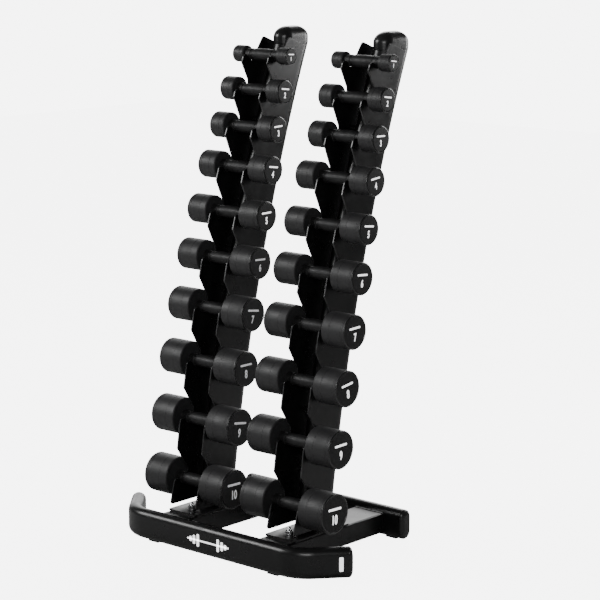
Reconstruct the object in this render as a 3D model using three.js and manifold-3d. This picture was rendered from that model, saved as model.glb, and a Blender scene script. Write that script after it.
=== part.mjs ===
// Loaded two-column dumbbell rack: an oval-tube base, two curved oval masts, and four
// saw-tooth cradle plates that hold ten graded dumbbells in each column.
// Millimetres, +X right seen from the front, -Y towards the user, +Z up.
import * as THREE from 'three';
import { mergeVertices } from 'three/addons/utils/BufferGeometryUtils.js';
import Module from 'manifold-3d';

const wasm = await Module();
wasm.setup();

// ---------- driving dimensions ----------
const CLEAR = 0.3;                 // gap kept between pieces that touch
const PAD_LIFT = 3;                // floor to the underside of the base tubes
const TUBE_H = 82;                 // flat-oval base tube, height
const TUBE_T = 40;                 // flat-oval base tube, thickness
const TUBE_WALL = 3;
const FRONT_TUBE_Y = -81.6;        // centre line of the front tube's straight middle
const REAR_TUBE_Y = 375.3;
const REAR_TUBE_LENGTH = 554;
const FRONT_STRAIGHT = 248;        // half length of the front tube's straight middle
const BEND_RADIUS = 96;
const BEND_ANGLE = THREE.MathUtils.degToRad(50);
const BEND_TAIL = 87;              // straight stretch after each bend
const CAP_DEPTH = 12;              // how far a domed end cap stands out of its tube
const CAP_RIM = 1.5;
const CAP_CREST = [44, 16];        // height and thickness of the flat middle of the dome
const PLUG_DEPTH = 14;

const COLUMN_X = 176;              // centre of each column from the middle of the rack
const RAIL_WIDTH = 100;
const RAIL_HEIGHT = 56;
const RAIL_CENTRE_Z = 42;          // above the floor
const RAIL_WALL = 3;
const FLANGE_THICKNESS = 8;
const FLANGE_MARGIN = 2;           // how far a flange stands out around its rail

const TIP_ARC_R = 5320;            // the hook tips of all tiers lie on this large arc
const BOTTOM_LEAN = THREE.MathUtils.degToRad(7.55);   // lean of the arc at the lowest tier
const LOWEST_AXIS = 154;           // handle height of the 10 kg tier above the floor
const HANDLE_R = 16;
const GRIP_LENGTH = 120;           // free handle between the two heads
const HANDLE_BACK = 37.5;          // handle axis behind its hook tip

const PLATE_THICKNESS = 4;
const PLATE_INNER = 44;            // column centre to the inside face of a cradle plate
const PLATE_DEPTH = 127;           // tip arc to the plate's rear edge
const NOTCH_R = 16.7;
const HOOK_R = 11.4;               // rounding of each hook, tangent to its notch
const THROAT = 84;                 // tooth corner above the next hook tip
const SHORTEST_NOSE = 19;          // least length of a tooth's front edge
const TOOTH_BACK = 2.5;            // tooth corner behind the tip arc
const TOE = 4;                     // lowest corner, forward of the tip arc
const CRADLE_GAP = 12;             // mast foot to the lower edge of a cradle plate
const CORNER_R = 8;                // rounding of the plate's lower front corner
const BACK_WALL_TOP = 24;          // where a notch's back wall meets the slanting edge
const APEX_R = 8;
const APEX_CENTRE = [87, 38];      // rounded top of the plate, from the top tier's tip
const APEX_START = THREE.MathUtils.degToRad(145);
const TOP_WALL = 5;                // height of the back wall above the top tier's axis

const MAST_BACK = 128;             // mast centre line behind the tip arc
const MAST_DEPTH = 106;
const MAST_WIDTH = 60;
const MAST_WALL = 3;
const MAST_TOP = 1317;             // level cut at the mast's upper end
const CAP_LIP = 18;
const DOME_HEIGHT = 48;
const DOME_CREST = [26, 6];        // depth and width of the flat spot on top of the dome
const SPACER_R = 10;
const SPACER_BACK = 113;
const SPACER_Z = [270, 1110];

const FOOT_THICKNESS = 5;
const FOOT_WIDTH = 104;
const FOOT_FRONT = -16;
const FOOT_REAR = 206;
const BOLT_Y = [22, 190];          // one bolt ahead of the mast, one behind it
const BOLT_R = 5;
const BOLT_STAND = 20;             // bolt end above the foot plate
const HEX_FLAT = 17;
const HEX_HEIGHT = 9;

const PAD_LENGTH = 36;
const PAD_WIDTH = 14;
const PAD_HEIGHT = 7;
const FRONT_PAD_X = 215;
const REAR_PAD_X = 240;

// One row per tier, lightest on top: mass, head diameter, head length, drop to the next tier.
const TIERS = [
  { kg: 1, headD: 46, headL: 37.5, drop: 92.6 },
  { kg: 2, headD: 64, headL: 45.5, drop: 98.4 },
  { kg: 3, headD: 71, headL: 50.5, drop: 106 },
  { kg: 4, headD: 76, headL: 61.5, drop: 119.8 },
  { kg: 5, headD: 80, headL: 68.5, drop: 122.5 },
  { kg: 6, headD: 86, headL: 74.5, drop: 134.2 },
  { kg: 7, headD: 92, headL: 77.5, drop: 143.5 },
  { kg: 8, headD: 96, headL: 79.5, drop: 155 },
  { kg: 9, headD: 102, headL: 81.5, drop: 164.9 },
  { kg: 10, headD: 108, headL: 82.5, drop: 0 },
];
const HEAD_CHAMFER = 3;

// ---------- facet counts ----------
const OVAL_STEPS = 6;              // per half-round end of an oval tube
const FRONT_TUBE_STEPS = 40;
const MAST_STEPS = 12;
const NOTCH_STEPS = 8;
const HOOK_STEPS = 5;
const APEX_STEPS = 3;
const CORNER_STEPS = 4;
const REAR_EDGE_STEPS = 10;
const DUMBBELL_SIDES = 16;
const DOME_RINGS = 5;
const CAP_RINGS = 4;

// ---------- materials ----------
const powderBlack = () => new THREE.MeshStandardMaterial({ color: 0x202122, roughness: 0.5, metalness: 0.3 });
const rubberBlack = () => new THREE.MeshStandardMaterial({ color: 0x2b2c2e, roughness: 0.6, metalness: 0 });
const plasticBlack = () => new THREE.MeshStandardMaterial({ color: 0x1b1b1c, roughness: 0.42, metalness: 0 });
const zincPlate = () => new THREE.MeshStandardMaterial({ color: 0xc4c7c9, roughness: 0.25, metalness: 1 });

// ---------- solids ----------
function toSolid(geometry) {
  const plain = geometry.clone();
  plain.deleteAttribute('normal');
  plain.deleteAttribute('uv');
  const merged = mergeVertices(plain, 1e-4);
  return new wasm.Manifold(new wasm.Mesh({
    numProp: 3,
    vertProperties: new Float32Array(merged.attributes.position.array),
    triVerts: new Uint32Array(merged.index.array),
  }));
}

function toGeometry(solid) {
  const mesh = solid.getMesh();
  const geometry = new THREE.BufferGeometry();
  geometry.setAttribute('position', new THREE.BufferAttribute(new Float32Array(mesh.vertProperties), 3));
  geometry.setIndex(new THREE.BufferAttribute(new Uint32Array(mesh.triVerts), 1));
  geometry.computeVertexNormals();
  return geometry;
}

function boxSolid(x, y, z, cx, cy, cz) {
  return toSolid(new THREE.BoxGeometry(x, y, z).translate(cx, cy, cz));
}

// ---------- the column's large arc, in the Y-Z plane ----------
const ARC_CENTRE_Y = TIP_ARC_R * Math.cos(BOTTOM_LEAN);
const ARC_CENTRE_Z = LOWEST_AXIS - TIP_ARC_R * Math.sin(BOTTOM_LEAN);
const leanAt = (z, back = 0) => Math.asin((z - ARC_CENTRE_Z) / (TIP_ARC_R - back));
const arcPoint = (lean, back) => [
  ARC_CENTRE_Y - (TIP_ARC_R - back) * Math.cos(lean),
  ARC_CENTRE_Z + (TIP_ARC_R - back) * Math.sin(lean),
];
const yAt = (z, back = 0) => arcPoint(leanAt(z, back), back)[0];

// Tier heights and hook tips, counted up from the heaviest dumbbell.
let axisZ = LOWEST_AXIS;
for (let i = TIERS.length - 1; i >= 0; i--) {
  axisZ += TIERS[i].drop;
  TIERS[i].z = axisZ;
  TIERS[i].tipY = yAt(axisZ);
}

// ---------- outlines ----------
// Flat oval, counter-clockwise: two half rounds of the full width, joined by straight sides.
function ovalPoints(length, width) {
  const r = width / 2;
  const points = [];
  for (const end of [1, -1]) {
    for (let i = 0; i <= OVAL_STEPS; i++) {
      const a = (Math.PI * i) / OVAL_STEPS;
      points.push(new THREE.Vector2(end * (length / 2 - r + r * Math.sin(a)), -end * r * Math.cos(a)));
    }
  }
  return points;
}

function ringShape(outer, inner) {
  const shape = new THREE.Shape(outer);
  shape.holes.push(new THREE.Path(inner));
  return shape;
}

function circlePoints(radius, sides) {
  return Array.from({ length: sides }, (_, i) => {
    const a = (2 * Math.PI * (i + 0.5)) / sides;
    return new THREE.Vector2(radius * Math.cos(a), radius * Math.sin(a));
  });
}

function roundedRect(width, height, radius) {
  const shape = new THREE.Shape();
  const x = width / 2;
  const y = height / 2;
  shape.moveTo(-x + radius, -y);
  shape.lineTo(x - radius, -y);
  shape.absarc(x - radius, -y + radius, radius, -Math.PI / 2, 0);
  shape.lineTo(x, y - radius);
  shape.absarc(x - radius, y - radius, radius, 0, Math.PI / 2);
  shape.lineTo(-x + radius, y);
  shape.absarc(-x + radius, y - radius, radius, Math.PI / 2, Math.PI);
  shape.lineTo(-x, -y + radius);
  shape.absarc(-x + radius, -y + radius, radius, Math.PI, 1.5 * Math.PI);
  return shape;
}

// ---------- base ----------
const tubeRing = () => ringShape(
  ovalPoints(TUBE_H, TUBE_T),
  ovalPoints(TUBE_H - 2 * TUBE_WALL, TUBE_T - 2 * TUBE_WALL),
);

// Centre line of the front tube: straight, then a backward bend and a short tail at each end.
class FrontTubePath extends THREE.Curve {
  getPoint(t, target = new THREE.Vector3()) {
    const arc = BEND_RADIUS * BEND_ANGLE;
    const half = FRONT_STRAIGHT + arc + BEND_TAIL;
    const s = (2 * t - 1) * half;
    const along = Math.abs(s);
    let x = along;
    let y = 0;
    if (along > FRONT_STRAIGHT) {
      const a = Math.min((along - FRONT_STRAIGHT) / BEND_RADIUS, BEND_ANGLE);
      const tail = Math.max(along - FRONT_STRAIGHT - arc, 0);
      x = FRONT_STRAIGHT + BEND_RADIUS * Math.sin(a) + tail * Math.cos(BEND_ANGLE);
      y = BEND_RADIUS * (1 - Math.cos(a)) + tail * Math.sin(BEND_ANGLE);
    }
    return target.set(Math.sign(s) * x, y, 0);
  }
}

const TUBE_Z = PAD_LIFT + TUBE_H / 2;
const RAIL_TOP = RAIL_CENTRE_Z + RAIL_HEIGHT / 2;
const rack = new THREE.Group();

function add(parent, name, geometry, material, position = [0, 0, 0]) {
  const mesh = new THREE.Mesh(geometry, material);
  mesh.name = name;
  mesh.position.set(...position);
  parent.add(mesh);
  return mesh;
}

function frontTube() {
  return new THREE.ExtrudeGeometry(tubeRing(), {
    steps: FRONT_TUBE_STEPS, extrudePath: new FrontTubePath(), bevelEnabled: false,
  });
}

// A straight length of the oval tube along X, its tall side upright.
function straightOval(shape, length) {
  const geometry = new THREE.ExtrudeGeometry(shape, { depth: length, bevelEnabled: false });
  return geometry.translate(0, 0, -length / 2).rotateY(Math.PI / 2);
}

// Domed end cap for an oval tube, facing +X: a plug inside the tube and a rounded face outside.
function ovalCap() {
  const ring = (height, thickness, x) => ovalPoints(height, thickness)
    .map((p) => new THREE.Vector3(x, -p.y, p.x));
  const inset = 2 * (TUBE_WALL + CLEAR);
  const rings = [
    ring(TUBE_H - inset, TUBE_T - inset, -PLUG_DEPTH),
    ring(TUBE_H - inset, TUBE_T - inset, CLEAR),
    ring(TUBE_H, TUBE_T, CLEAR),
  ];
  for (let i = 0; i <= CAP_RINGS; i++) {
    const a = (Math.PI / 2) * (i / CAP_RINGS);
    rings.push(ring(
      CAP_CREST[0] + (TUBE_H - CAP_CREST[0]) * Math.cos(a),
      CAP_CREST[1] + (TUBE_T - CAP_CREST[1]) * Math.cos(a),
      CLEAR + CAP_RIM + (CAP_DEPTH - CAP_RIM) * Math.sin(a),
    ));
  }
  return loft(rings);
}

function railTube(length) {
  const w = RAIL_WIDTH;
  const h = RAIL_HEIGHT;
  const wall = RAIL_WALL;
  const inner = roundedRect(w - 2 * wall, h - 2 * wall, 3).getPoints(2);
  const outer = roundedRect(w, h, 6).getPoints(2);
  const geometry = new THREE.ExtrudeGeometry(ringShape(outer, inner), { depth: length, bevelEnabled: false });
  return geometry.translate(0, 0, -length / 2).rotateX(Math.PI / 2);
}

function flange() {
  const shape = roundedRect(RAIL_WIDTH + 2 * FLANGE_MARGIN, RAIL_HEIGHT + 2 * FLANGE_MARGIN, 7);
  const geometry = new THREE.ExtrudeGeometry(
    new THREE.Shape(shape.getPoints(2)), { depth: FLANGE_THICKNESS, bevelEnabled: false });
  return geometry.translate(0, 0, -FLANGE_THICKNESS / 2).rotateX(Math.PI / 2);
}

// Rubber pad with a flat foot and a saddle that the oval tube sits in.
function floorPad() {
  const block = boxSolid(PAD_LENGTH, PAD_WIDTH, PAD_HEIGHT, 0, 0, PAD_HEIGHT / 2);
  const tube = straightOval(
    new THREE.Shape(ovalPoints(TUBE_H + 2 * CLEAR, TUBE_T + 2 * CLEAR)), 2 * PAD_LENGTH);
  return toGeometry(block.subtract(toSolid(tube.translate(0, 0, TUBE_Z))));
}

add(rack, 'front_foot_tube', frontTube(), powderBlack(), [0, FRONT_TUBE_Y, TUBE_Z]);
add(rack, 'rear_foot_tube', straightOval(tubeRing(), REAR_TUBE_LENGTH), powderBlack(),
  [0, REAR_TUBE_Y, TUBE_Z]);

const tailEnd = new FrontTubePath().getPoint(1);
for (const [side, sign] of [['left', -1], ['right', 1]]) {
  const front = add(rack, `front_tube_cap_${side}`, ovalCap(), plasticBlack(),
    [sign * tailEnd.x, FRONT_TUBE_Y + tailEnd.y, TUBE_Z]);
  front.rotation.z = sign > 0 ? BEND_ANGLE : Math.PI - BEND_ANGLE;
  const rear = add(rack, `rear_tube_cap_${side}`, ovalCap(), plasticBlack(),
    [sign * REAR_TUBE_LENGTH / 2, REAR_TUBE_Y, TUBE_Z]);
  rear.rotation.z = sign > 0 ? 0 : Math.PI;
  add(rack, `floor_pad_front_${side}`, floorPad(), rubberBlack(), [sign * FRONT_PAD_X, FRONT_TUBE_Y, 0]);
  add(rack, `floor_pad_rear_${side}`, floorPad(), rubberBlack(), [sign * REAR_PAD_X, REAR_TUBE_Y, 0]);
}

// ---------- columns ----------
const RAIL_FRONT = FRONT_TUBE_Y + TUBE_T / 2 + 2 * CLEAR + FLANGE_THICKNESS;
const RAIL_REAR = REAR_TUBE_Y - TUBE_T / 2 - 2 * CLEAR - FLANGE_THICKNESS;
const FOOT_BOTTOM = RAIL_TOP + CLEAR;
const PLATE_BOTTOM = FOOT_BOTTOM + FOOT_THICKNESS + CRADLE_GAP;
const MAST_BOTTOM = FOOT_BOTTOM + FOOT_THICKNESS + CLEAR;
const TOP_TIER = TIERS[0];

function arcTo(points, cy, cz, radius, from, to, steps) {
  for (let i = 0; i <= steps; i++) {
    const a = from + ((to - from) * i) / steps;
    points.push(new THREE.Vector2(cy + radius * Math.cos(a), cz + radius * Math.sin(a)));
  }
}

// Saw-tooth outline in the Y-Z plane, walked down the front from the rounded top, then up the rear.
function cradleOutline() {
  const points = [];
  const apexY = TOP_TIER.tipY + APEX_CENTRE[0];
  const apexZ = TOP_TIER.z + APEX_CENTRE[1];
  const topLean = leanAt(apexZ, PLATE_DEPTH / 2);
  const hookDrop = Math.sqrt((NOTCH_R + HOOK_R) ** 2 - (HANDLE_BACK - HOOK_R) ** 2);
  const blend = Math.atan2(hookDrop, HANDLE_BACK - HOOK_R);
  arcTo(points, apexY, apexZ, APEX_R, Math.PI / 2 - topLean, APEX_START, APEX_STEPS);
  TIERS.forEach((tier, i) => {
    const y = tier.tipY;
    points.push(new THREE.Vector2(y + HANDLE_BACK + NOTCH_R, tier.z + (i ? BACK_WALL_TOP : TOP_WALL)));
    arcTo(points, y + HANDLE_BACK, tier.z, NOTCH_R, 0, blend - Math.PI, NOTCH_STEPS);
    arcTo(points, y + HOOK_R, tier.z - hookDrop, HOOK_R, blend, Math.PI, HOOK_STEPS);
    const next = TIERS[i + 1];
    if (next) {
      const cornerZ = Math.min(next.z + THROAT, tier.z - SHORTEST_NOSE);
      points.push(new THREE.Vector2(yAt(cornerZ) + TOOTH_BACK, cornerZ));
    }
  });
  arcTo(points, yAt(PLATE_BOTTOM) - TOE + CORNER_R, PLATE_BOTTOM + CORNER_R, CORNER_R,
    Math.PI, 1.5 * Math.PI, CORNER_STEPS);
  const lowLean = leanAt(PLATE_BOTTOM, PLATE_DEPTH);
  const highLean = Math.atan2(points[0].y - ARC_CENTRE_Z, ARC_CENTRE_Y - points[0].x);
  for (let i = 0; i <= REAR_EDGE_STEPS; i++) {
    const lean = lowLean + ((highLean - lowLean) * i) / REAR_EDGE_STEPS;
    points.push(new THREE.Vector2(...arcPoint(lean, PLATE_DEPTH)));
  }
  return points.filter((p, i) => i === 0 || p.distanceTo(points[i - 1]) > 0.05);
}

// The outline's first coordinate becomes Y, its second Z, and the thickness runs along X.
function uprightPlate(outline, thickness) {
  const shape = new THREE.Shape(outline);
  const geometry = new THREE.ExtrudeGeometry(shape, { depth: thickness, bevelEnabled: false });
  const turn = new THREE.Matrix4().makeBasis(
    new THREE.Vector3(0, 1, 0), new THREE.Vector3(0, 0, 1), new THREE.Vector3(1, 0, 0));
  return geometry.applyMatrix4(turn).translate(-thickness / 2, 0, 0);
}

// Mast centre line: the arc, run a little past both of the level cuts.
class MastPath extends THREE.Curve {
  getPoint(t, target = new THREE.Vector3()) {
    const low = leanAt(MAST_BOTTOM - 25, MAST_BACK);
    const high = leanAt(MAST_TOP + 35, MAST_BACK);
    const [y, z] = arcPoint(low + (high - low) * t, MAST_BACK);
    return target.set(0, y, z);
  }
}

// The oval's long side lies across the path, in the Y-Z plane.
function mastTube() {
  const turned = (points) => points.map((p) => new THREE.Vector2(-p.y, p.x));
  const inner = ovalPoints(MAST_DEPTH - 2 * MAST_WALL, MAST_WIDTH - 2 * MAST_WALL);
  const ring = ringShape(turned(ovalPoints(MAST_DEPTH, MAST_WIDTH)), turned(inner));
  const tube = toSolid(new THREE.ExtrudeGeometry(ring, {
    steps: MAST_STEPS, extrudePath: new MastPath(), bevelEnabled: false,
  }));
  const below = boxSolid(300, 600, 200, 0, yAt(MAST_BOTTOM, MAST_BACK), MAST_BOTTOM - 100);
  const above = boxSolid(300, 600, 200, 0, yAt(MAST_TOP, MAST_BACK), MAST_TOP + 100);
  return toGeometry(tube.subtract(below).subtract(above));
}

// Closed skin over a stack of rings that all have the same number of points.
function loft(rings) {
  const count = rings[0].length;
  const positions = rings.flat().flatMap((p) => [p.x, p.y, p.z]);
  const indices = [];
  for (let r = 0; r + 1 < rings.length; r++) {
    for (let i = 0; i < count; i++) {
      const a = r * count + i;
      const b = r * count + ((i + 1) % count);
      indices.push(a, b, b + count, a, b + count, a + count);
    }
  }
  const top = (rings.length - 1) * count;
  for (let i = 1; i + 1 < count; i++) {
    indices.push(0, i + 1, i, top, top + i, top + i + 1);
  }
  const geometry = new THREE.BufferGeometry();
  geometry.setAttribute('position', new THREE.Float32BufferAttribute(positions, 3));
  geometry.setIndex(indices);
  geometry.computeVertexNormals();
  return geometry;
}

// Level dome over the slanting mast, with a plug that follows the mast's lean down inside it.
function mastCap() {
  const lean = leanAt(MAST_TOP, MAST_BACK);
  const stretch = 1 / Math.cos(lean);
  const ring = (depth, width, z) => ovalPoints(depth * stretch, width)
    .map((p) => new THREE.Vector3(-p.y, p.x + Math.min(z, 0) * Math.tan(lean), z));
  const inset = 2 * (MAST_WALL + 5 * CLEAR);
  const rings = [
    ring(MAST_DEPTH - inset, MAST_WIDTH - inset, -PLUG_DEPTH),
    ring(MAST_DEPTH - inset, MAST_WIDTH - inset, CLEAR),
    ring(MAST_DEPTH, MAST_WIDTH, CLEAR),
  ];
  for (let i = 0; i <= DOME_RINGS; i++) {
    const a = (Math.PI / 2) * (i / DOME_RINGS);
    const [crestDepth, crestWidth] = DOME_CREST;
    rings.push(ring(
      crestDepth + (MAST_DEPTH - crestDepth) * Math.cos(a),
      crestWidth + (MAST_WIDTH - crestWidth) * Math.cos(a),
      CLEAR + CAP_LIP + (DOME_HEIGHT - CAP_LIP) * Math.sin(a),
    ));
  }
  return loft(rings);
}

// Round distance piece between a mast's flat side and a cradle plate, its axis along X.
function spacer() {
  const length = PLATE_INNER - MAST_WIDTH / 2 - 2 * CLEAR;
  return new THREE.CylinderGeometry(SPACER_R, SPACER_R, length, 12).rotateZ(Math.PI / 2);
}

function footPlate() {
  const depth = FOOT_REAR - FOOT_FRONT;
  const shape = roundedRect(FOOT_WIDTH, depth, 6);
  const outline = new THREE.Shape(shape.getPoints(2));
  const middleY = (FOOT_FRONT + FOOT_REAR) / 2;
  for (const y of BOLT_Y) {
    const hole = circlePoints(BOLT_R + CLEAR, 12).map((p) => p.add(new THREE.Vector2(0, y - middleY)));
    outline.holes.push(new THREE.Path(hole));
  }
  return new THREE.ExtrudeGeometry(outline, { depth: FOOT_THICKNESS, bevelEnabled: false });
}

// Foot bolt with its nut: the thread stands up through the nut, which rests at z = 0.
function footBolt() {
  const nut = new THREE.CylinderGeometry(HEX_FLAT / Math.sqrt(3), HEX_FLAT / Math.sqrt(3), HEX_HEIGHT, 6)
    .rotateX(Math.PI / 2).translate(0, 0, HEX_HEIGHT / 2);
  const shank = FOOT_THICKNESS + RAIL_WALL + 10;
  const thread = new THREE.CylinderGeometry(BOLT_R, BOLT_R, shank + BOLT_STAND, 12)
    .rotateX(Math.PI / 2).translate(0, 0, (BOLT_STAND - shank) / 2);
  return toGeometry(toSolid(nut).add(toSolid(thread)));
}

function drilledRail() {
  const length = RAIL_REAR - RAIL_FRONT;
  let rail = toSolid(railTube(length));
  for (const y of BOLT_Y) {
    const drill = new THREE.CylinderGeometry(BOLT_R + CLEAR, BOLT_R + CLEAR, 20, 12).rotateX(Math.PI / 2);
    rail = rail.subtract(toSolid(drill.translate(0, y - (RAIL_FRONT + RAIL_REAR) / 2, RAIL_HEIGHT / 2)));
  }
  return toGeometry(rail);
}

// ---------- dumbbells ----------
function dumbbell(tier) {
  const grip = GRIP_LENGTH / 2;
  const end = grip + tier.headL;
  const r = tier.headD / 2;
  const c = HEAD_CHAMFER;
  const half = [[HANDLE_R, grip], [r - c, grip], [r, grip + c], [r, end - c], [r - c, end], [0, end]];
  const mirrored = half.map(([x, y]) => [x, -y]).reverse();
  const profile = [...mirrored, ...half].map(([x, y]) => new THREE.Vector2(x, y));
  return new THREE.LatheGeometry(profile, DUMBBELL_SIDES).rotateZ(-Math.PI / 2);
}

for (const [side, sign] of [['left', -1], ['right', 1]]) {
  const column = new THREE.Group();
  column.position.x = sign * COLUMN_X;
  rack.add(column);
  add(column, `base_rail_${side}`, drilledRail(), powderBlack(),
    [0, (RAIL_FRONT + RAIL_REAR) / 2, RAIL_CENTRE_Z]);
  const half = FLANGE_THICKNESS / 2 + CLEAR;
  add(column, `rail_flange_front_${side}`, flange(), powderBlack(), [0, RAIL_FRONT - half, RAIL_CENTRE_Z]);
  add(column, `rail_flange_rear_${side}`, flange(), powderBlack(), [0, RAIL_REAR + half, RAIL_CENTRE_Z]);
  add(column, `mast_foot_${side}`, footPlate(), powderBlack(), [0, (FOOT_FRONT + FOOT_REAR) / 2, FOOT_BOTTOM]);
  BOLT_Y.forEach((y, i) => add(column, `foot_bolt_${side}_${i ? 'rear' : 'front'}`, footBolt(), zincPlate(),
    [0, y, FOOT_BOTTOM + FOOT_THICKNESS + CLEAR]));
  add(column, `mast_${side}`, mastTube(), powderBlack());
  add(column, `mast_cap_${side}`, mastCap(), plasticBlack(), [0, yAt(MAST_TOP, MAST_BACK), MAST_TOP]);
  for (const [wing, turn] of [['inner', -sign], ['outer', sign]]) {
    add(column, `cradle_plate_${side}_${wing}`, uprightPlate(cradleOutline(), PLATE_THICKNESS), powderBlack(),
      [turn * (PLATE_INNER + PLATE_THICKNESS / 2), 0, 0]);
    SPACER_Z.forEach((z, i) => add(column, `plate_spacer_${side}_${wing}_${i ? 'high' : 'low'}`, spacer(),
      powderBlack(), [turn * (PLATE_INNER + MAST_WIDTH / 2) / 2, yAt(z, SPACER_BACK), z]));
  }
  for (const tier of TIERS) {
    add(column, `dumbbell_${side}_${tier.kg}kg`, dumbbell(tier), rubberBlack(),
      [0, tier.tipY + HANDLE_BACK, tier.z]);
  }
}

// The finished rack stands on the bottom centre of its own box.
const box = new THREE.Box3().setFromObject(rack, true);
const middle = box.getCenter(new THREE.Vector3());
rack.position.set(-middle.x, -middle.y, -box.min.z);

export default rack;
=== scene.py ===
"""Loaded two-column dumbbell rack: looks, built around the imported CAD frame. Metres, +Z up."""
import bpy
import bmesh
import math
import random
from mathutils import Matrix, Vector


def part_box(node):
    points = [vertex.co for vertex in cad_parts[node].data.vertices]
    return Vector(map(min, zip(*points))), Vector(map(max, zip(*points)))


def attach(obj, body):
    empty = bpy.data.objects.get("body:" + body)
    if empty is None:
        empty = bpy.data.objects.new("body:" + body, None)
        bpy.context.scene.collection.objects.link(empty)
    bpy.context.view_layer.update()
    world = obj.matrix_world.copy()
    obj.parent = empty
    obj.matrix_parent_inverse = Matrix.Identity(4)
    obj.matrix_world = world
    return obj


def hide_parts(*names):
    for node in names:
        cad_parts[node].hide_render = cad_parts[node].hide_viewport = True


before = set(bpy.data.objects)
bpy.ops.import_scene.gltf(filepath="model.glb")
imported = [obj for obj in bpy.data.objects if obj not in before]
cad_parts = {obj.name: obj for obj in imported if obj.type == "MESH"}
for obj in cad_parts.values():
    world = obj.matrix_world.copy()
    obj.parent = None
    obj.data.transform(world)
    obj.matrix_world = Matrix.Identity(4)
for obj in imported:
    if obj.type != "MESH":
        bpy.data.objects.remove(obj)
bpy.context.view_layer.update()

# ---------- shared dimensions, in metres ----------
SIDES = {"left": -1, "right": 1}
MASSES = range(1, 11)
HANDLE_R = 0.016
HALF_GRIP = 0.060
TUBE_T = 0.040
BEND_RADIUS = 0.096
BEND_ANGLE = math.radians(50)
BEND_TAIL = 0.087
TIP_ARC_R = 5.320
BOTTOM_LEAN = math.radians(7.55)
HANDLE_BACK = 0.0375
MAST_BACK = 0.128
MAST_DEPTH = 0.106
MAST_WIDTH = 0.060
DOME_CREST = (0.026, 0.006)
CAP_LIP = 0.018
SEAM = 0.0003
CAP_DEPTH = 0.012
CAP_CREST = (0.044, 0.016)
BOLT_R = 0.005
PITCH = 0.0015
NUT_HEIGHT = 0.009
WASHER = 0.0018
SHADED_FROM_KG = 6

# ---------- light and camera settings ----------
CAMERA_PLACE = (3.7262, -4.2218, 1.7224)
CAMERA_DOWN = math.radians(10.405)
CAMERA_TURN = math.radians(41.735)
LENS = 128.5
SHIFT = (0.049, -0.0221)
BACKDROP = 6.5
FLOOR_GLOW = 6.0
FILL = 0.08
WALL = 2.4
WALL_DIRECTION = (-0.65, 0.74, 0.17)


# ---------- materials ----------
class Nodes:
    """A short way to wire a material's node tree."""

    def __init__(self, name, color, roughness, metallic=0.0, **sockets):
        self.material = bpy.data.materials.new(name)
        self.material.use_nodes = True
        self.tree = self.material.node_tree
        self.shader = self.tree.nodes["Principled BSDF"]
        self.shader.inputs["Base Color"].default_value = (*color, 1)
        self.shader.inputs["Roughness"].default_value = roughness
        self.shader.inputs["Metallic"].default_value = metallic
        for socket, value in sockets.items():
            self.shader.inputs[socket.replace("_", " ")].default_value = value
        self.coords = self.tree.nodes.new("ShaderNodeTexCoord").outputs["Object"]

    def link(self, source, target):
        self.tree.links.new(source, target)

    def stretched(self, scale):
        mapping = self.tree.nodes.new("ShaderNodeMapping")
        mapping.inputs["Scale"].default_value = scale
        self.link(self.coords, mapping.inputs["Vector"])
        return mapping.outputs["Vector"]

    def noise(self, scale, detail=3.0, stretch=None):
        node = self.tree.nodes.new("ShaderNodeTexNoise")
        node.inputs["Scale"].default_value = scale
        node.inputs["Detail"].default_value = detail
        self.link(self.stretched(stretch) if stretch else self.coords, node.inputs["Vector"])
        return node.outputs["Fac"]

    def ramp(self, fac, stops):
        node = self.tree.nodes.new("ShaderNodeValToRGB")
        while len(node.color_ramp.elements) < len(stops):
            node.color_ramp.elements.new(0.5)
        for element, (place, color) in zip(node.color_ramp.elements, stops):
            element.position = place
            element.color = (*color, 1)
        self.link(fac, node.inputs["Fac"])
        return node.outputs["Color"]

    def spread(self, fac, low, high):
        node = self.tree.nodes.new("ShaderNodeMapRange")
        node.inputs["From Min"].default_value = 0.3
        node.inputs["From Max"].default_value = 0.7
        node.inputs["To Min"].default_value = low
        node.inputs["To Max"].default_value = high
        self.link(fac, node.inputs["Value"])
        return node.outputs["Result"]

    def color(self, source):
        self.link(source, self.shader.inputs["Base Color"])

    def roughness(self, source):
        self.link(source, self.shader.inputs["Roughness"])

    def bump(self, height, strength, distance, under=None):
        node = self.tree.nodes.new("ShaderNodeBump")
        node.inputs["Strength"].default_value = strength
        node.inputs["Distance"].default_value = distance
        self.link(height, node.inputs["Height"])
        if under:
            self.link(under, node.inputs["Normal"])
        self.link(node.outputs["Normal"], self.shader.inputs["Normal"])
        return node.outputs["Normal"]


def grey(value):
    return (value, value, value * 1.03)


def make_powder_coat():
    """Black powder coat: fine orange peel, cloudy gloss, a little dust in the grain."""
    n = Nodes("powder_coat", grey(0.004), 0.31, Specular_IOR_Level=0.5)
    n.color(n.ramp(n.noise(9), [(0.35, grey(0.003)), (0.65, grey(0.005))]))
    n.roughness(n.spread(n.noise(30, 4), 0.26, 0.35))
    wide = n.bump(n.noise(420, 2), 0.10, 0.0006)
    n.bump(n.noise(1700, 2), 0.12, 0.0002, under=wide)
    return n.material


def make_cut_edge():
    """The plates' narrow cut edges: the coat is thinner there and smoother, and its paler colour is a
    painted highlight.
    """
    n = Nodes("cut_edge", grey(0.02), 0.28, Specular_IOR_Level=0.6)
    n.color(n.ramp(n.noise(55, 4), [(0.35, grey(0.012)), (0.7, grey(0.05))]))
    n.roughness(n.spread(n.noise(80, 3), 0.22, 0.36))
    n.bump(n.noise(800, 2), 0.15, 0.0003)
    return n.material


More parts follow.
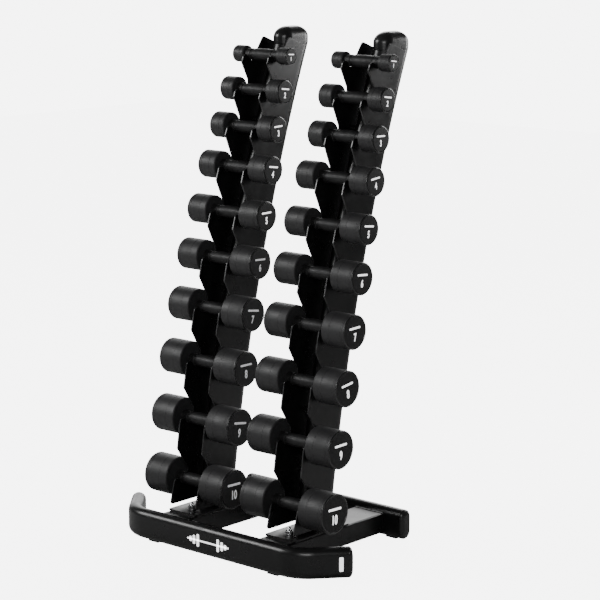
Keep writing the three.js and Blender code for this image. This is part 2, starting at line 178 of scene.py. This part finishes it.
def make_weight_rubber():
    """Turned rubber skin: faint rings around the weight's own axis, soft sheen, fine grain."""
    n = Nodes("weight_rubber", grey(0.022), 0.5, Specular_IOR_Level=0.45)
    n.color(n.ramp(n.noise(14, 4), [(0.3, grey(0.018)), (0.7, grey(0.026))]))
    n.roughness(n.spread(n.noise(25, 4), 0.44, 0.58))
    rings = n.bump(n.noise(260, 2, stretch=(1, 0.02, 0.02)), 0.16, 0.0005)
    n.bump(n.noise(1500, 2), 0.16, 0.0002, under=rings)
    return n.material


def make_head_rim():
    """The rounded outer edge of a head, rubbed smoother than the rest of its skin."""
    n = Nodes("head_rim", grey(0.014), 0.24, Specular_IOR_Level=0.7)
    n.color(n.ramp(n.noise(30, 4), [(0.3, grey(0.010)), (0.7, grey(0.020))]))
    n.roughness(n.spread(n.noise(70, 3), 0.18, 0.30))
    n.bump(n.noise(1500, 2), 0.1, 0.0002)
    return n.material


def make_end_disc():
    """Moulded end face: darker and flatter than the turned skin."""
    n = Nodes("end_disc", grey(0.008), 0.5, Specular_IOR_Level=0.4)
    n.color(n.ramp(n.noise(20, 4), [(0.3, grey(0.006)), (0.7, grey(0.010))]))
    n.roughness(n.spread(n.noise(60, 3), 0.46, 0.58))
    n.bump(n.noise(1900, 2), 0.2, 0.0002)
    return n.material


def make_print(name, glow):
    """White pad print; its small glow stands in for light thrown straight at it."""
    n = Nodes(name, grey(0.8), 0.5)
    n.shader.inputs["Emission Color"].default_value = (1, 1, 1, 1)
    n.shader.inputs["Emission Strength"].default_value = glow
    n.color(n.ramp(n.noise(700, 3), [(0.3, grey(0.74)), (0.6, grey(0.86))]))
    n.roughness(n.spread(n.noise(200), 0.45, 0.6))
    return n.material


def make_black_plastic():
    """Moulded cap plastic: satin, with a fine mould grain."""
    n = Nodes("black_plastic", grey(0.012), 0.28, Specular_IOR_Level=0.5)
    n.color(n.ramp(n.noise(12), [(0.3, grey(0.009)), (0.7, grey(0.015))]))
    n.roughness(n.spread(n.noise(40, 4), 0.24, 0.34))
    n.bump(n.noise(1300, 2), 0.12, 0.0002)
    return n.material


def make_foot_rubber():
    n = Nodes("foot_rubber", grey(0.02), 0.8)
    n.color(n.ramp(n.noise(40, 4), [(0.3, grey(0.014)), (0.7, grey(0.028))]))
    n.roughness(n.spread(n.noise(120), 0.72, 0.88))
    n.bump(n.noise(900, 3), 0.3, 0.0004)
    return n.material


def make_handle_steel():
    """Blackened steel grip with a fine, even grain."""
    n = Nodes("handle_steel", grey(0.012), 0.5, metallic=0.3)
    n.color(n.ramp(n.noise(60, 4), [(0.3, grey(0.008)), (0.7, grey(0.018))]))
    n.roughness(n.spread(n.noise(90, 3), 0.44, 0.58))
    n.bump(n.noise(1100, 1), 0.45, 0.0004)
    return n.material


def make_zinc_steel():
    n = Nodes("zinc_steel", grey(0.72), 0.22, metallic=1.0)
    n.color(n.ramp(n.noise(160, 4), [(0.3, (0.66, 0.67, 0.68)), (0.7, (0.82, 0.83, 0.84))]))
    n.roughness(n.spread(n.noise(240), 0.16, 0.3))
    n.bump(n.noise(2200, 2), 0.1, 0.0001)
    return n.material


POWDER = make_powder_coat()
CUT_EDGE_HIGHLIGHT = make_cut_edge()
RUBBER = make_weight_rubber()
HEAD_RIM = make_head_rim()
END_DISC = make_end_disc()
PRINT = make_print("print_white", 1.6)
DIM_PRINT = make_print("print_dim", 0.12)
PLASTIC = make_black_plastic()
FOOT_RUBBER = make_foot_rubber()
HANDLE_STEEL = make_handle_steel()
ZINC = make_zinc_steel()


# ---------- mesh helpers ----------
def new_object(name, mesh, *materials):
    obj = bpy.data.objects.new(name, mesh)
    bpy.context.scene.collection.objects.link(obj)
    for material in materials:
        mesh.materials.append(material)
    return obj


def smooth(mesh, angle=32):
    """Smooth shading that keeps every edge sharper than the angle crisp."""
    bm = bmesh.new()
    bm.from_mesh(mesh)
    bmesh.ops.recalc_face_normals(bm, faces=bm.faces)
    limit = math.radians(angle)
    for face in bm.faces:
        face.smooth = True
    for edge in bm.edges:
        edge.smooth = len(edge.link_faces) == 2 and edge.calc_face_angle(0) < limit
    bm.to_mesh(mesh)
    bm.free()


def weighted(obj):
    """Gives the object normals that follow its larger faces, so that broad flat faces shade flat."""
    modifier = obj.modifiers.new("normals", "WEIGHTED_NORMAL")
    modifier.keep_sharp = True
    graph = bpy.context.evaluated_depsgraph_get()
    mesh = bpy.data.meshes.new_from_object(obj.evaluated_get(graph))
    obj.modifiers.remove(modifier)
    obj.data = mesh


def piece(name, mesh, material, body, slot, *replaced, second=None):
    """One finished piece: shaded, put on its body, standing for its CAD nodes; the slot is not used."""
    smooth(mesh)
    obj = new_object(name, mesh, *[m for m in (material, second) if m])
    weighted(obj)
    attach(obj, body)
    if replaced:
        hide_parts(*replaced)
    return obj


def skin(rings, closed_rings=True, capped=True):
    """Mesh over a stack of rings with equal point counts, ends filled with one face each."""
    count = len(rings[0])
    vertices = [v for ring in rings for v in ring]
    faces = []
    for r in range(len(rings) - 1):
        for i in range(count if closed_rings else count - 1):
            j = (i + 1) % count
            faces.append((r * count + i, r * count + j, (r + 1) * count + j, (r + 1) * count + i))
    if capped:
        faces.append(tuple(range(count)))
        last = (len(rings) - 1) * count
        faces.append(tuple(last + i for i in reversed(range(count))))
    mesh = bpy.data.meshes.new("skin")
    mesh.from_pydata(vertices, [], faces)
    return mesh


def lathe(profile, sides=64):
    """Closed solid of revolution around X from (x, radius) points, first and last on the axis."""
    bm = bmesh.new()
    loops = []
    for x, r in profile:
        if r < 1e-6:
            loops.append([bm.verts.new((x, 0, 0))])
            continue
        turn = [2 * math.pi * i / sides for i in range(sides)]
        loops.append([bm.verts.new((x, r * math.cos(a), r * math.sin(a))) for a in turn])
    for a, b in zip(loops, loops[1:]):
        for i in range(sides):
            j = (i + 1) % sides
            corners = [a[i % len(a)], a[j % len(a)], b[j % len(b)], b[i % len(b)]]
            unique = list(dict.fromkeys(corners))
            if len(unique) > 2:
                bm.faces.new(unique)
    mesh = bpy.data.meshes.new("lathe")
    bm.to_mesh(mesh)
    bm.free()
    return mesh


def fillet(x, r, radius, start, end, steps=5):
    """Arc of profile points around (x, r) between two angles in degrees."""
    points = []
    for i in range(steps + 1):
        a = math.radians(start + (end - start) * i / steps)
        points.append((x + radius * math.cos(a), r + radius * math.sin(a)))
    return points


def oval(length, width, steps=14):
    """Flat oval, counter-clockwise, long side along the first coordinate."""
    r = width / 2
    points = []
    for end in (1, -1):
        for i in range(steps + 1):
            a = math.pi * i / steps
            points.append((end * (length / 2 - r + r * math.sin(a)), -end * r * math.cos(a)))
    return points


def rounded_rectangle(width, height, radius, steps=5):
    points = []
    corners = [(1, -1, -90), (1, 1, 0), (-1, 1, 90), (-1, -1, 180)]
    for sx, sy, start in corners:
        for i in range(steps + 1):
            a = math.radians(start + 90 * i / steps)
            points.append((sx * (width / 2 - radius) + radius * math.cos(a),
                           sy * (height / 2 - radius) + radius * math.sin(a)))
    return points


def joined(meshes):
    bm = bmesh.new()
    for mesh in meshes:
        bm.from_mesh(mesh)
    out = bpy.data.meshes.new("joined")
    bm.to_mesh(out)
    bm.free()
    return out


def moved(mesh, matrix):
    mesh.transform(matrix)
    return mesh


def softened(node, bevel, segments=2, angle=25, marked_edges=False):
    """The CAD node's own shape with its flat faces merged and its sharp edges rounded.

    With marked_edges, all faces but the two broad ones square to X get the second material.
    """
    bm = bmesh.new()
    bm.from_mesh(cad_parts[node].data)
    bmesh.ops.remove_doubles(bm, verts=bm.verts, dist=1e-5)
    bmesh.ops.dissolve_limit(bm, angle_limit=math.radians(1), verts=bm.verts, edges=bm.edges)
    limit = math.radians(angle)
    sharp = [e for e in bm.edges if len(e.link_faces) == 2 and e.calc_face_angle(0) > limit]
    bmesh.ops.bevel(bm, geom=sharp, offset=bevel, segments=segments, profile=0.6, affect="EDGES",
                    clamp_overlap=True)
    bm.normal_update()
    for face in bm.faces:
        face.material_index = int(marked_edges and abs(face.normal.x) < 0.99)
    mesh = bpy.data.meshes.new(node)
    bm.to_mesh(mesh)
    bm.free()
    return mesh


def centre(node):
    low, high = (Vector(corner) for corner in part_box(node))
    return (low + high) / 2


def size(node):
    low, high = (Vector(corner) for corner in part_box(node))
    return high - low


# ---------- the columns' large arc ----------
LOWEST = centre("dumbbell_left_10kg")
ARC_CENTRE_Y = LOWEST.y - HANDLE_BACK + TIP_ARC_R * math.cos(BOTTOM_LEAN)
ARC_CENTRE_Z = LOWEST.z - TIP_ARC_R * math.sin(BOTTOM_LEAN)


def lean_at(z, back):
    return math.asin((z - ARC_CENTRE_Z) / (TIP_ARC_R - back))


def y_at(z, back):
    return ARC_CENTRE_Y - (TIP_ARC_R - back) * math.cos(lean_at(z, back))


# ---------- base ----------
def front_tube_path(inset=0.0):
    """Centre line points and directions of the front tube, from its left end to its right end."""
    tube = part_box("front_foot_tube")
    y = tube[0][1] + TUBE_T / 2
    z = (tube[0][2] + tube[1][2]) / 2
    overhang = math.sin(BEND_ANGLE) * TUBE_T / 2
    reach = tube[1][0] - overhang
    straight = reach - BEND_RADIUS * math.sin(BEND_ANGLE) - BEND_TAIL * math.cos(BEND_ANGLE)
    half = [(Vector((0, y, z)), 0.0), (Vector((straight, y, z)), 0.0)]
    bend_steps = 24
    for i in range(1, bend_steps + 1):
        a = BEND_ANGLE * i / bend_steps
        place = Vector((straight + BEND_RADIUS * math.sin(a), y + BEND_RADIUS * (1 - math.cos(a)), z))
        half.append((place, a))
    place, a = half[-1]
    half.append((place + Vector((math.cos(a), math.sin(a), 0)) * (BEND_TAIL - inset), a))
    mirrored = [(Vector((-p.x, p.y, p.z)), -a) for p, a in reversed(half[1:])]
    return mirrored + half


def swept(path, section):
    """Section points are (up, across); the path runs level, each point with its turn about Z."""
    rings = []
    for place, turn in path:
        across = Vector((math.sin(turn), -math.cos(turn), 0))
        rings.append([place + across * v + Vector((0, 0, u)) for u, v in section])
    return rings


def oval_cap(name, node, place, turn):
    """Moulded end cap of an oval tube, facing +X before its turn: a small lip, then a low dome."""
    height = size(node).z
    crest_height, crest_thickness = CAP_CREST
    rings = []
    for x, inset in [(0, 0.0010), (0.0006, 0.0002), (0.0016, 0)]:
        rings.append([(x, v, u) for u, v in oval(height - inset, TUBE_T - inset)])
    lip = 0.002
    dome_rings = 14
    for i in range(dome_rings + 1):
        a = math.pi / 2 * i / dome_rings
        outline = oval(crest_height + (height - crest_height) * math.cos(a),
                       crest_thickness + (TUBE_T - crest_thickness) * math.cos(a))
        rings.append([(lip + (CAP_DEPTH - lip) * math.sin(a), v, u) for u, v in outline])
    mesh = skin(rings)
    mesh.transform(Matrix.Translation(place) @ Matrix.Rotation(turn, 4, "Z"))
    return piece(name, mesh, PLASTIC, "rack", "black_plastic", node)


def build_base():
    height = size("rear_foot_tube").z
    section = oval(height, TUBE_T)
    path = front_tube_path()
    piece("front_tube_finish", skin(swept(path, section)), POWDER, "rack", "powder_coat",
          "front_foot_tube")
    for side, sign in SIDES.items():
        place, turn = path[-1] if sign > 0 else path[0]
        direction = turn if sign > 0 else math.pi + turn
        step = Vector((math.cos(direction), math.sin(direction), 0)) * SEAM
        oval_cap(f"front_cap_finish_{side}", f"front_tube_cap_{side}", place + step, direction)
    rear = centre("rear_foot_tube")
    half = size("rear_foot_tube").x / 2
    ends = [(Vector((-half, rear.y, rear.z)), 0.0), (Vector((half, rear.y, rear.z)), 0.0)]
    piece("rear_tube_finish", skin(swept(ends, section)), POWDER, "rack", "powder_coat",
          "rear_foot_tube")
    for side, sign in SIDES.items():
        place = Vector((sign * (half + SEAM), rear.y, rear.z))
        turn = 0 if sign > 0 else math.pi
        oval_cap(f"rear_cap_finish_{side}", f"rear_tube_cap_{side}", place, turn)
    for side in SIDES:
        for end in ("front", "rear"):
            node = f"floor_pad_{end}_{side}"
            piece(f"pad_finish_{end}_{side}", softened(node, 0.0012), FOOT_RUBBER, "rack",
                  "foot_rubber", node)


def build_tube_marks():
    """Plain printed marks on the front tube: a dumbbell pictogram, and a stripe by the right end."""
    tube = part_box("front_foot_tube")
    upright = Matrix.Rotation(math.pi / 2, 4, "X")
    film = 0.0001
    parts = [flat_shape(rounded_rectangle(0.150, 0.0045, 0.002, 3), film)]
    for x, height in [(0.036, 0.034), (0.050, 0.024), (0.062, 0.014)]:
        for sign in (-1, 1):
            plate = flat_shape(rounded_rectangle(0.009, height, 0.003, 3), film)
            parts.append(moved(plate, Matrix.Translation((sign * x, 0, 0))))
    middle = Matrix.Translation((0, tube[0][1] - film / 2, centre("front_foot_tube").z))
    pictogram = moved(joined(parts), middle @ upright)
    place, turn = front_tube_path(inset=0.020)[-1]
    outward = Vector((math.sin(turn), -math.cos(turn), 0)) * (TUBE_T / 2 + film / 2)
    stripe = flat_shape(rounded_rectangle(0.011, 0.038, 0.003, 3), film)
    on_tube = Matrix.Translation(place + outward) @ Matrix.Rotation(turn, 4, "Z") @ upright
    stripe = moved(stripe, on_tube)
    piece("tube_marks", joined([pictogram, stripe]), PRINT, "rack", "powder_coat")


def build_rail(side):
    node = f"base_rail_{side}"
    place = centre(node)
    extent = size(node)
    section = rounded_rectangle(extent.x, extent.z, 0.006)
    rings = [[(place.x + u, place.y + end * extent.y / 2, place.z + v) for u, v in section]
             for end in (-1, 1)]
    piece(f"rail_finish_{side}", skin(rings), POWDER, "rack", "powder_coat", node)
    for end in ("front", "rear"):
        flange = f"rail_flange_{end}_{side}"
        piece(f"flange_finish_{end}_{side}", softened(flange, 0.001), POWDER, "rack", "powder_coat",
              flange)
    foot = f"mast_foot_{side}"
    piece(f"foot_plate_finish_{side}", softened(foot, 0.0008), POWDER, "rack", "powder_coat", foot)


def hex_nut(across, height):
    """Hex nut standing on z = 0 with its top and bottom corners turned off."""
    rings = []
    corner = across / math.sqrt(3)
    sides = 48
    turned = [(0, corner * 0.95), (height * 0.12, corner), (height * 0.82, corner),
              (height, across / 2 * 0.93)]
    for z, limit in turned:
        ring = []
        for i in range(sides):
            a = 2 * math.pi * i / sides
            local = (a + math.pi / 6) % (math.pi / 3) - math.pi / 6
            flat = across / 2 / math.cos(local)
            r = min(flat, limit)
            ring.append((r * math.cos(a), r * math.sin(a), z))
        rings.append(ring)
    return skin(rings)


def build_bolt(side, end):
    """Zinc-plated stud with washer and nut; fine rings stand for the thread."""
    node = f"foot_bolt_{side}_{end}"
    low, high = (Vector(corner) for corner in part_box(node))
    plate_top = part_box(f"mast_foot_{side}")[1][2]
    place = Vector(((low.x + high.x) / 2, (low.y + high.y) / 2, plate_top))
    stand = high.z - plate_top
    across = high.x - low.x
    washer = lathe([(0, 0), (0, across * 0.56), (0.0006, across * 0.6), (0.0014, across * 0.6),
                    (WASHER, across * 0.57), (WASHER, 0)], 48)
    turn_up = Matrix.Rotation(-math.pi / 2, 4, "Y")
    nut = moved(hex_nut(across, NUT_HEIGHT), Matrix.Translation((0, 0, WASHER + 0.0001)))
    profile = [(0, 0), (0, BOLT_R - 0.0004)]
    x = NUT_HEIGHT
    while x < stand - 0.0028:
        profile += [(x, BOLT_R - 0.0006), (x + PITCH / 2, BOLT_R)]
        x += PITCH
    profile += [(stand - 0.0016, BOLT_R - 0.0004), (stand - 0.0003, BOLT_R - 0.0016), (stand, 0)]
    stud = lathe(profile, 32)
    mesh = joined([moved(washer, turn_up), nut, moved(stud, turn_up)])
    mesh.transform(Matrix.Translation(place))
    piece(f"bolt_finish_{side}_{end}", mesh, ZINC, "rack", "zinc_steel", node)


# ---------- columns ----------
def build_mast(side):
    node = f"mast_{side}"
    low, high = (Vector(corner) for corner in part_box(node))
    x = (low.x + high.x) / 2
    steps = 48
    section = oval(MAST_DEPTH, MAST_WIDTH)
    rings = []
    for i in range(steps + 1):
        ring = []
        for depth, across in section:
            back = MAST_BACK - depth
            start = lean_at(low.z, back)
            lean = start + (lean_at(high.z, back) - start) * i / steps
            r = TIP_ARC_R - back
            ring.append((x + across, ARC_CENTRE_Y - r * math.cos(lean),
                         ARC_CENTRE_Z + r * math.sin(lean)))
        rings.append(ring)
    piece(f"mast_finish_{side}", skin(rings), POWDER, "rack", "powder_coat", node)


def build_mast_cap(side):
    """Level dome over the slanting oval mast, with a rounded lip."""
    node = f"mast_cap_{side}"
    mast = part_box(f"mast_{side}")
    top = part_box(node)[1][2]
    place = Vector((centre(node).x, y_at(mast[1][2], MAST_BACK), mast[1][2] + SEAM))
    rise = top - place.z
    stretch = 1 / math.cos(lean_at(mast[1][2], MAST_BACK))
    crest_depth, crest_width = DOME_CREST

    def ring(depth, width, z):
        return [(-v, u, z) for u, v in oval(depth * stretch, width, 20)]

    rings = [ring(MAST_DEPTH - 0.002, MAST_WIDTH - 0.002, 0), ring(MAST_DEPTH, MAST_WIDTH, 0.001)]
    dome_rings = 16
    for i in range(dome_rings + 1):
        a = math.pi / 2 * i / dome_rings
        rings.append(ring(crest_depth + (MAST_DEPTH - crest_depth) * math.cos(a),
                          crest_width + (MAST_WIDTH - crest_width) * math.cos(a),
                          CAP_LIP + (rise - CAP_LIP) * math.sin(a)))
    mesh = skin(rings)
    mesh.transform(Matrix.Translation(place))
    piece(f"mast_cap_finish_{side}", mesh, PLASTIC, "rack", "black_plastic", node)


def build_cradle(side, wing):
    node = f"cradle_plate_{side}_{wing}"
    mesh = softened(node, 0.0006, marked_edges=True)
    # The narrow edges get the second material, whose paler colour is a painted highlight.
    piece(f"cradle_finish_{side}_{wing}", mesh, POWDER, "rack", "powder_coat", node, second=CUT_EDGE_HIGHLIGHT)
    for level in ("low", "high"):
        spacer = f"plate_spacer_{side}_{wing}_{level}"
        piece(f"spacer_finish_{side}_{wing}_{level}", softened(spacer, 0.0008, angle=50), POWDER,
              "rack", "powder_coat", spacer)


# ---------- dumbbells ----------
def head_mesh(radius, length):
    """One head from its inner face at x = 0 to its outer face at x = length."""
    edge = 0.0035
    rim = 0.0028
    groove = 0.0006
    face = radius * 0.90
    profile = [(0, 0), (0, radius - edge)]
    profile += fillet(edge, radius - edge, edge, 180, 90)
    for x in (length * 0.34, length - 0.0125, length - 0.0075):
        profile += [(x - groove, radius), (x, radius - groove), (x + groove, radius)]
    profile += fillet(length - rim, radius - rim, rim, 90, 0)
    profile += [(length, face + 0.0006), (length - 0.0008, face), (length - 0.0008, 0)]
    mesh = lathe(profile, 96)
    for polygon in mesh.polygons:
        polygon.material_index = int(polygon.center.x > length - rim)
    return mesh


def disc_mesh(radius, length):
    """The moulded end disc, set in the head's rim."""
    face = radius * 0.90 - 0.0004
    profile = [(length - 0.0006, 0), (length - 0.0006, face - 0.0004), (length - 0.0002, face - 0.0012),
               (length - 0.0002, 0)]
    return lathe(profile, 96)


def handle_mesh():
    """Grip with a slightly swollen middle, and a groove before each plain end."""
    grip = HALF_GRIP
    half = [(0, HANDLE_R + 0.0012), (grip * 0.25, HANDLE_R + 0.0010), (grip * 0.48, HANDLE_R + 0.0003),
            (grip * 0.58, HANDLE_R - 0.0004), (grip * 0.60, HANDLE_R - 0.0014),
            (grip * 0.66, HANDLE_R - 0.0014), (grip * 0.68, HANDLE_R + 0.0001),
            (grip, HANDLE_R + 0.0001)]
    profile = [(-grip, 0)] + [(-x, r) for x, r in reversed(half)][:-1] + half + [(grip, 0)]
    return lathe(profile, 48)


def flat_shape(outline, thickness):
    """Thin closed plate from a 2-D outline, in the X-Y plane."""
    rings = [[(x, y, z) for x, y in outline] for z in (0, thickness)]
    return skin(rings)


def number_mesh(text, height):
    """Bold plain figures, centred on the origin in the X-Y plane, given cap height."""
    curve = bpy.data.curves.new("figures", "FONT")
    curve.body = text
    curve.align_x = "CENTER"
    curve.align_y = "CENTER"
    curve.offset = 0.035
    curve.extrude = 0.006
    curve.resolution_u = 4
    curve.space_character = 1.05
    obj = bpy.data.objects.new("figures", curve)
    bpy.context.scene.collection.objects.link(obj)
    mesh = bpy.data.meshes.new_from_object(obj.evaluated_get(bpy.context.evaluated_depsgraph_get()))
    bpy.data.objects.remove(obj)
    bpy.data.curves.remove(curve)
    tall = max(v.co.y for v in mesh.vertices) - min(v.co.y for v in mesh.vertices)
    scale = height / tall
    mesh.transform(Matrix.Diagonal((scale * 0.66, scale, 0.010, 1)))
    return mesh


def build_dumbbell(side, kg, tilt):
    node = f"dumbbell_{side}_{kg}kg"
    place = centre(node)
    extent = size(node)
    radius = extent.z / 2
    length = extent.x / 2 - HALF_GRIP
    outward = {1: Matrix.Identity(4), -1: Matrix.Rotation(math.pi, 4, "Z")}
    start = Matrix.Translation((HALF_GRIP, 0, 0))
    to_place = Matrix.Translation(place)
    body = f"weight_{side}_{kg}kg"

    heads = [moved(head_mesh(radius, length), turn @ start) for turn in outward.values()]
    piece(f"heads_{side}_{kg}kg", moved(joined(heads), to_place), RUBBER, body, "weight_rubber", node,
          second=HEAD_RIM)
    discs = [moved(disc_mesh(radius, length), turn @ start) for turn in outward.values()]
    piece(f"discs_{side}_{kg}kg", moved(joined(discs), to_place), END_DISC, body, "weight_rubber")
    piece(f"handle_{side}_{kg}kg", moved(handle_mesh(), to_place), HANDLE_STEEL, body, "weight_rubber")

    # Printed marks: the mass in kilograms, and a plain bar above it; dim where the columns shade them.
    print_material = DIM_PRINT if side == "left" and kg >= SHADED_FROM_KG else PRINT
    on_face = Matrix(((0, 0, 1, 0), (1, 0, 0, 0), (0, 1, 0, 0), (0, 0, 0, 1)))
    print_height = Matrix.Translation((HALF_GRIP + length - 0.0002, 0, 0))
    marks = []
    for turn in outward.values():
        figures = moved(number_mesh(str(kg), radius * 0.48), Matrix.Translation((0, -radius * 0.30, 0)))
        bar = flat_shape(rounded_rectangle(radius * 0.92, radius * 0.115, radius * 0.04, 3), 0.0001)
        bar = moved(bar, Matrix.Translation((0, radius * 0.24, 0)))
        mark = joined([figures, bar])
        marks.append(moved(mark, turn @ print_height @ on_face @ Matrix.Rotation(tilt, 4, "Z")))
    piece(f"marks_{side}_{kg}kg", moved(joined(marks), to_place), print_material, body, "weight_rubber")


# ---------- floor, light and camera ----------
def seen_directly(tree, hidden, shown):
    """Mixes two shaders: a view sees the second one, and the first one lights the scene."""
    mix = tree.nodes.new("ShaderNodeMixShader")
    path = tree.nodes.new("ShaderNodeLightPath")
    tree.links.new(path.outputs["Is Camera Ray"], mix.inputs["Fac"])
    tree.links.new(hidden, mix.inputs[1])
    tree.links.new(shown, mix.inputs[2])
    return mix.outputs["Shader"]


def build_stage():
    """White sweep: the backdrop and floor look pale, but throw only a soft fill on the rack."""
    floor = flat_shape([(-9, -9), (9, -9), (9, 9), (-9, 9)], -0.02)
    n = Nodes("floor", (0.55, 0.55, 0.55), 0.7, Specular_IOR_Level=0.2)
    n.roughness(n.spread(n.noise(3), 0.65, 0.75))
    glow = n.tree.nodes.new("ShaderNodeAddShader")
    white = n.tree.nodes.new("ShaderNodeEmission")
    white.inputs["Strength"].default_value = FLOOR_GLOW
    n.link(n.shader.outputs["BSDF"], glow.inputs[0])
    n.link(white.outputs["Emission"], glow.inputs[1])
    surface = n.tree.nodes["Material Output"].inputs["Surface"]
    n.link(seen_directly(n.tree, n.shader.outputs["BSDF"], glow.outputs["Shader"]), surface)
    new_object("floor", floor, n.material)

    world = bpy.data.worlds.new("studio")
    bpy.context.scene.world = world
    world.use_nodes = True
    tree = world.node_tree
    fill = tree.nodes["Background"]
    fill.inputs["Color"].default_value = (1, 1, 1, 1)
    tree.links.new(cyclorama_strength(tree), fill.inputs["Strength"])
    backdrop = tree.nodes.new("ShaderNodeBackground")
    backdrop.inputs["Color"].default_value = (1, 1, 1, 1)
    backdrop.inputs["Strength"].default_value = BACKDROP
    surface = tree.nodes["World Output"].inputs["Surface"]
    tree.links.new(seen_directly(tree, fill.outputs[0], backdrop.outputs[0]), surface)


def cyclorama_strength(tree):
    """The room is dim all round, with a bright white wall behind and to the left of the rack."""
    direction = tree.nodes.new("ShaderNodeTexCoord").outputs["Generated"]
    facing = tree.nodes.new("ShaderNodeVectorMath")
    facing.operation = "DOT_PRODUCT"
    facing.inputs[1].default_value = WALL_DIRECTION
    tree.links.new(direction, facing.inputs[0])
    falloff = tree.nodes.new("ShaderNodeMapRange")
    falloff.interpolation_type = "SMOOTHSTEP"
    falloff.inputs["From Min"].default_value = 0.80
    falloff.inputs["From Max"].default_value = 0.97
    falloff.inputs["To Min"].default_value = FILL
    falloff.inputs["To Max"].default_value = WALL
    tree.links.new(facing.outputs["Value"], falloff.inputs["Value"])
    return falloff.outputs["Result"]


def soft_light(name, place, target, width, height, power):
    light = bpy.data.lights.new(name, "AREA")
    light.shape = "RECTANGLE"
    light.size = width
    light.size_y = height
    light.energy = power
    obj = bpy.data.objects.new(name, light)
    obj.location = place
    obj.rotation_euler = (Vector(target) - Vector(place)).to_track_quat("-Z", "Y").to_euler()
    bpy.context.scene.collection.objects.link(obj)


def build_camera():
    """Long lens from the right, a little above the middle of the rack."""
    camera = bpy.data.cameras.new("camera")
    camera.lens = LENS
    camera.sensor_width = 36
    camera.shift_x, camera.shift_y = SHIFT
    camera.clip_end = 60
    obj = bpy.data.objects.new("camera", camera)
    obj.location = CAMERA_PLACE
    obj.rotation_euler = (math.pi / 2 - CAMERA_DOWN, 0, CAMERA_TURN)
    bpy.context.scene.collection.objects.link(obj)
    bpy.context.scene.camera = obj


build_camera()
build_stage()
soft_light("key", (-3.4, -2.9, 2.8), (0, 0, 0.7), 1.8, 1.8, 125)
soft_light("side", (0.85, 2.05, 1.5), (-0.1, 0.1, 1.2), 0.6, 0.9, 22)
soft_light("rim", (-1.8, 3.2, 2.6), (0, 0, 0.5), 2.0, 1.0, 35)
soft_light("front", (2.7, -3.6, 2.3), (0, 0, 0.7), 1.8, 1.8, 75)
build_base()
build_tube_marks()
for side in SIDES:
    build_rail(side)
    build_mast(side)
    build_mast_cap(side)
    for end in ("front", "rear"):
        build_bolt(side, end)
    for wing in ("inner", "outer"):
        build_cradle(side, wing)
rolls = random.Random(7)
for side in SIDES:
    for kg in MASSES:
        build_dumbbell(side, kg, math.radians(rolls.uniform(-9, 9)))
